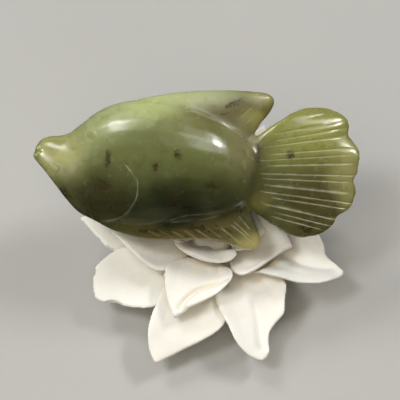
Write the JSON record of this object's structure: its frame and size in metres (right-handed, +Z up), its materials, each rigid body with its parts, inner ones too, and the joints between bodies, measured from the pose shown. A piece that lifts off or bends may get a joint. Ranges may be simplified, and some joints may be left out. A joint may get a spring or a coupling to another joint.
{
  "type": "jade figurine",
  "caption": "Carved jade fish with fanned tail and ribbed fins, lying on an open lotus-like flower stand of white unglazed ceramic petals on a round foot.",
  "frame": {"origin": "centre of the flower stand's round foot, on its flat underside, which is the surface it rests on", "axes": "+Z up; +X along the fish from mouth to tail; -Y is the front, the side that the fish's belly edge and near flank lean towards"},
  "size_m": [0.0651, 0.0502, 0.0364],
  "materials": {
    "jade": "polished, translucent",
    "bisque": "unglazed, fine matt"
  },
  "bodies": {
    "flower_stand": {"foot": "bisque", "receptacle": "bisque", "outer_petal_left_rear": "bisque", "outer_petal_left": "bisque", "outer_petal_front_left": "bisque", "outer_petal_front_right": "bisque", "outer_petal_right": "bisque", "outer_petal_right_rear": "bisque", "outer_petal_rear": "bisque", "outer_petal_rear_left": "bisque", "middle_petal_left": "bisque", "middle_petal_front": "bisque", "middle_petal_right": "bisque", "middle_petal_right_rear": "bisque", "middle_petal_rear_left": "bisque", "inner_petal_front": "bisque", "inner_petal_right": "bisque", "inner_petal_rear": "bisque", "inner_petal_left": "bisque"},
    "fish": {"jade_fish": "jade"}
  },
  "joints": [
    {"name": "fish_lift", "type": "slide", "parent": "flower_stand", "child": "fish", "axis": [0, 0, 1], "range_m": [0, 0.05]}
  ]
}
